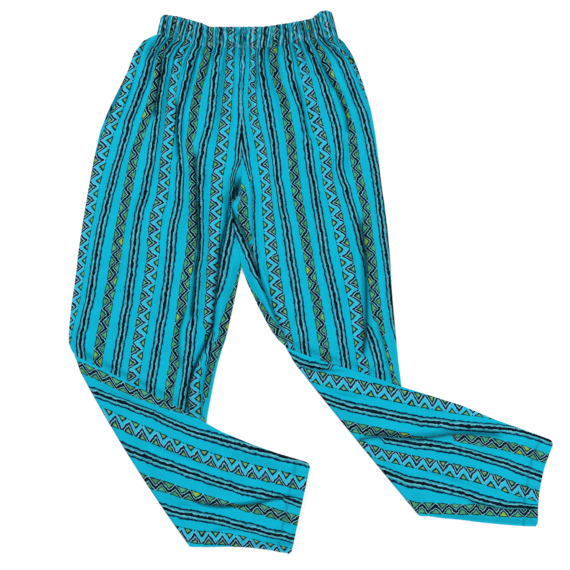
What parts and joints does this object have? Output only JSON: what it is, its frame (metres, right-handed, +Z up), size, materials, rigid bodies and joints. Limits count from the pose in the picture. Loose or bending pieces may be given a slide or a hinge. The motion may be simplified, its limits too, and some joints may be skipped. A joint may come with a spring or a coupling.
{
  "type": "printed pull-on trousers laid flat",
  "caption": "Tapered printed trousers with a gathered elastic waist and side-seam pockets, laid flat front up with each lower leg folded across at the knee.",
  "frame": {"origin": "the middle of the garment's outline, on the surface it lies on", "axes": "+Z up from the surface, +Y towards the waist, +X towards the hems' side"},
  "size_m": [0.8488, 0.9508, 0.013],
  "materials": {
    "printed_cloth": "plain-woven light cloth, turquoise, printed with stripes of zigzags and brushed lines",
    "waist_casing": "the same printed cloth, gathered over an elastic band",
    "pocket_facing": "the same printed cloth, in the shade of the pocket opening"
  },
  "bodies": {
    "root": {"waistband_front": "waist_casing", "waistband_back": "waist_casing", "front_left": "printed_cloth", "front_right": "printed_cloth", "back_left": "printed_cloth", "back_right": "printed_cloth", "pocket_facing_left": "pocket_facing", "pocket_facing_right": "pocket_facing"}
  },
  "joints": []
}
